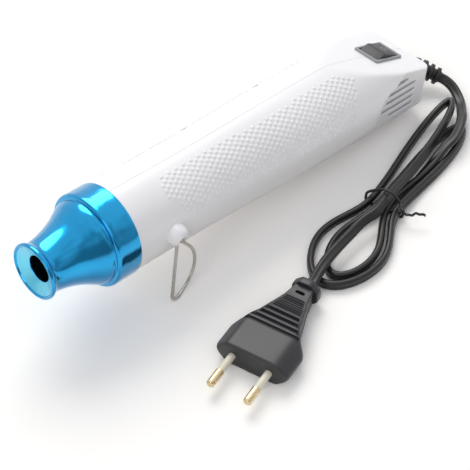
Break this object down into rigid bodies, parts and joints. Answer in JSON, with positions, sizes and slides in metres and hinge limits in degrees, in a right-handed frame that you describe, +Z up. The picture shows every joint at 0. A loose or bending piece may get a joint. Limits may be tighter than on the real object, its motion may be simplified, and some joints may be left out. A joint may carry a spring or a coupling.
{
  "type": "embossing heat tool",
  "caption": "Straight embossing heat tool: a white moulded barrel, a flared metal nozzle, a rocker switch, fold-out wire stand loops and a short bundled mains cord.",
  "frame": {"origin": "centre of the tool's footprint, on the surface that it stands on, without its cord", "axes": "+X along the tool towards its tail as seen from above, +Y towards the right shell, +Z up; the barrel's own axis rises towards the nozzle by 5.43 degrees"},
  "size_m": [0.2597, 0.1226, 0.0655],
  "materials": {
    "white_abs": "smooth moulded ABS",
    "blue_lacquered_steel": "glossy metallic blue lacquer on drawn steel",
    "screw_steel": "zinc-plated steel",
    "stainless_wire": "drawn stainless wire",
    "heater_steel": "rolled steel tube",
    "motor_steel": "drawn steel can",
    "heating_wire": "oxidised resistance wire",
    "mica": "pressed mica sheet",
    "fibre_board": "heat-resistant fibre board",
    "black_nylon": "moulded nylon",
    "natural_nylon": "moulded nylon",
    "board_laminate": "lacquered laminate",
    "component_black": "moulded epoxy",
    "capacitor_sleeve": "shrink sleeve",
    "switch_grey": "moulded nylon",
    "switch_black": "moulded nylon",
    "terminal_brass": "stamped brass",
    "pin_brass": "turned brass",
    "sleeve_plastic": "moulded sleeve",
    "lead_jacket": "soft PVC",
    "black_pvc": "soft PVC, satin",
    "plug_pvc": "moulded PVC, satin"
  },
  "bodies": {
    "housing": {"left_shell": "white_abs", "right_shell": "white_abs", "shell_screws": "screw_steel", "nozzle_cover": "blue_lacquered_steel", "front_insulating_ring": "fibre_board", "rear_insulating_ring": "fibre_board", "heater_tube": "heater_steel", "mica_sleeve": "mica", "mica_former": "mica", "heating_coil": "heating_wire", "thermal_cutoff": "screw_steel", "motor_bracket": "natural_nylon", "motor_screws": "screw_steel", "motor_can": "motor_steel", "motor_endcap": "natural_nylon", "rectifier_board": "board_laminate", "rectifier_diodes": "component_black", "smoothing_capacitor": "capacitor_sleeve", "switch_housing": "switch_grey", "switch_pivot": "screw_steel", "switch_terminals": "terminal_brass", "internal_leads": "lead_jacket", "cord_clamp": "natural_nylon", "clamp_screws": "screw_steel", "strain_relief": "black_pvc", "cord_lead": "black_pvc", "cord_hank": "black_pvc", "cord_tail": "black_pvc", "twist_tie": "black_pvc", "plug_body": "plug_pvc", "plug_pins": "pin_brass", "pin_sleeves": "sleeve_plastic"},
    "rotor": {"fan_impeller": "black_nylon", "motor_shaft": "screw_steel"},
    "rocker": {"switch_rocker": "switch_black"},
    "loop_left": {"stand_loop_left": "stainless_wire"},
    "loop_right": {"stand_loop_right": "stainless_wire"}
  },
  "joints": [
    {"name": "fan_spin", "type": "hinge", "parent": "housing", "child": "rotor", "pos_m": [-0.01092, 0, 0.03582], "axis": [0.9955, 0, -0.0947], "continuous": true},
    {"name": "rocker_tilt", "type": "hinge", "parent": "housing", "child": "rocker", "pos_m": [0.10002, 0, 0.03669], "axis": [0, 1, 0], "range_deg": [0, 14]},
    {"name": "loop_left_swing", "type": "hinge", "parent": "housing", "child": "loop_left", "pos_m": [-0.05644, -0.0245, 0.04095], "axis": [-0.9955, 0, 0.0947], "range_deg": [0, 88]},
    {"name": "loop_right_swing", "type": "hinge", "parent": "housing", "child": "loop_right", "pos_m": [-0.05644, 0.0245, 0.04095], "axis": [0.9955, 0, -0.0947], "range_deg": [0, 88]}
  ]
}
